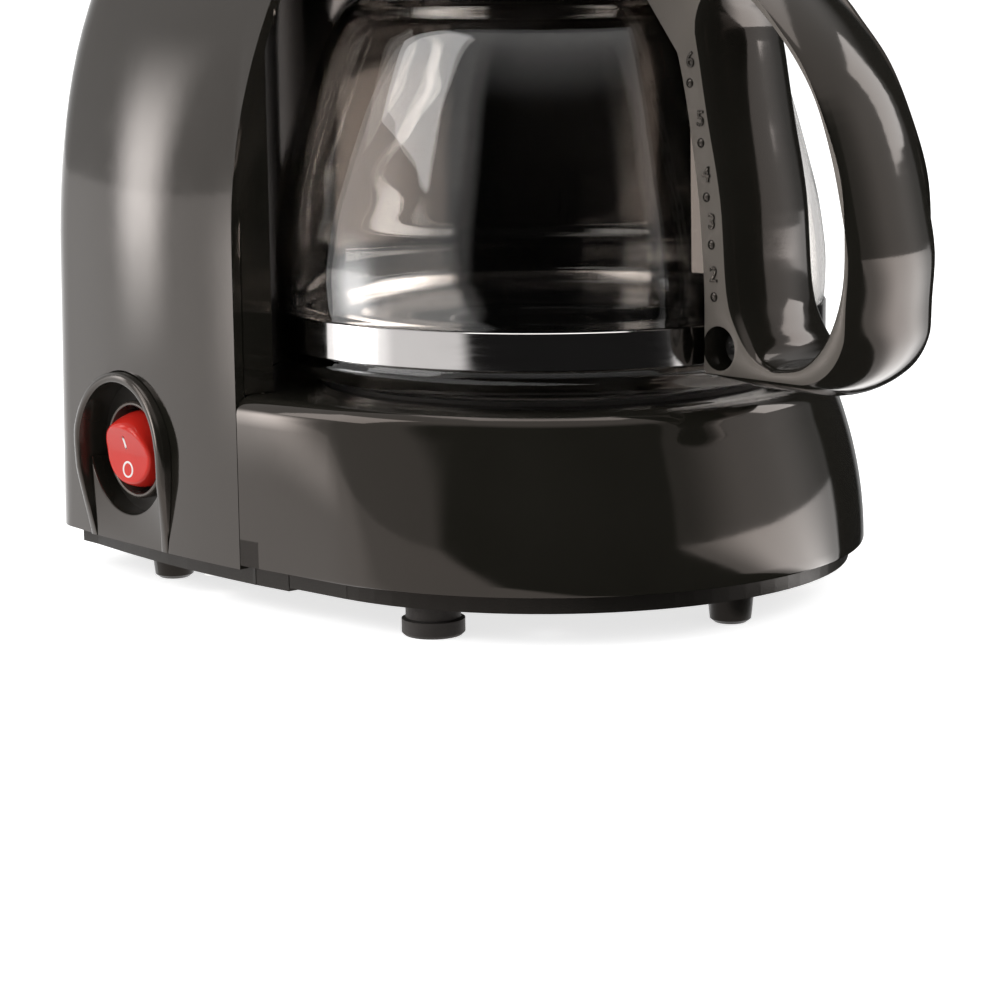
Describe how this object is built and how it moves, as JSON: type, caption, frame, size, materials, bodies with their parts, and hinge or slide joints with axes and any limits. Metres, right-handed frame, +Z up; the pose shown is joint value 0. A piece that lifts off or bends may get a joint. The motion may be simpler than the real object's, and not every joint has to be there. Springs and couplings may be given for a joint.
{
  "type": "drip coffee maker",
  "caption": "Compact drip coffee maker with a round warming base, glass carafe with loop handle, tower with water tank, rocker switch, filter basket and hinged lid.",
  "frame": {"origin": "centre of the footprint, on the surface the feet stand on", "axes": "+Z up, -Y to the front where the carafe slides out, -X the side with the power switch"},
  "size_m": [0.158, 0.2148, 0.2323],
  "materials": {
    "gloss_black": "polished",
    "satin_black": "fine satin",
    "rubber_black": "moulded",
    "screw_steel": "bright zinc",
    "band_steel": "polished strip",
    "plate_coat": "non-stick coating",
    "cast_alloy": "extruded",
    "rod_steel": "oxidised sheath",
    "ceramic_white": "bisque",
    "fuse_gold": "plated",
    "tank_clear": "natural polypropylene",
    "silicone": "translucent silicone",
    "valve_white": "moulded",
    "ball_red": "moulded",
    "rocker_red": "translucent",
    "frame_grey": "polished",
    "bezel_grey": "polished",
    "wire_red": "silicone insulation",
    "glass": "clear",
    "spring_steel": "drawn"
  },
  "bodies": {
    "base": {"drum_housing": "gloss_black", "outer_casing": "gloss_black", "bay_wall": "gloss_black", "brew_housing": "gloss_black", "front_base_plate": "satin_black", "rear_base_plate": "satin_black", "rubber_feet": "rubber_black", "base_screws": "screw_steel", "warming_plate": "plate_coat", "plate_seal": "rubber_black", "water_heater_tube": "cast_alloy", "heating_rod": "rod_steel", "heater_clamp": "screw_steel", "clamp_screw": "screw_steel", "thermostat": "ceramic_white", "thermal_fuses": "fuse_gold", "water_tank": "tank_clear", "cold_hose": "silicone", "hot_hose": "silicone", "hose_clips": "screw_steel", "check_valve": "valve_white", "riser_tube": "valve_white", "water_spout": "silicone", "switch_frame": "frame_grey", "switch_body": "bezel_grey", "switch_terminals": "fuse_gold", "lead_wires": "wire_red", "cord_inlet": "satin_black", "lid_hinge_pins": "screw_steel"},
    "rocker": {"rocker": "rocker_red"},
    "lid": {"top_lid": "gloss_black", "shower_plate": "satin_black"},
    "basket": {"filter_basket": "satin_black"},
    "valve": {"valve_plunger": "ball_red", "valve_seal": "silicone", "valve_spring": "spring_steel"},
    "carafe": {"carafe_glass": "glass", "carafe_band": "band_steel", "carafe_handle": "gloss_black", "band_screw": "screw_steel", "band_nut": "screw_steel", "carafe_collar": "gloss_black"},
    "carafe_lid": {"carafe_lid": "gloss_black"},
    "check_ball": {"check_ball": "ball_red"}
  },
  "joints": [
    {"name": "rocker_tilt", "type": "hinge", "parent": "base", "child": "rocker", "pos_m": [-0.07209, 0.0673, 0.0324], "axis": [0, 1, 0], "range_deg": [0, 16]},
    {"name": "lid_hinge", "type": "hinge", "parent": "base", "child": "lid", "pos_m": [0, 0.07673, 0.2028], "axis": [-1, 0, 0], "range_deg": [0, 95]},
    {"name": "basket_lift", "type": "slide", "parent": "base", "child": "basket", "axis": [0, 0, 1], "range_m": [0, 0.009]},
    {"name": "valve_lift", "type": "slide", "parent": "basket", "child": "valve", "axis": [0, 0, 1], "range_m": [0, 0.003], "deforming": ["valve_spring"]},
    {"name": "carafe_slide", "type": "slide", "parent": "base", "child": "carafe", "axis": [0, -1, 0], "range_m": [0, 0.15]},
    {"name": "carafe_lid_twist", "type": "hinge", "parent": "carafe", "child": "carafe_lid", "pos_m": [0, 0.004, 0.15], "axis": [0, 0, 1], "range_deg": [0, 60]},
    {"name": "check_ball_lift", "type": "slide", "parent": "base", "child": "check_ball", "axis": [0, 0, 1], "range_m": [0, 0.002]}
  ]
}
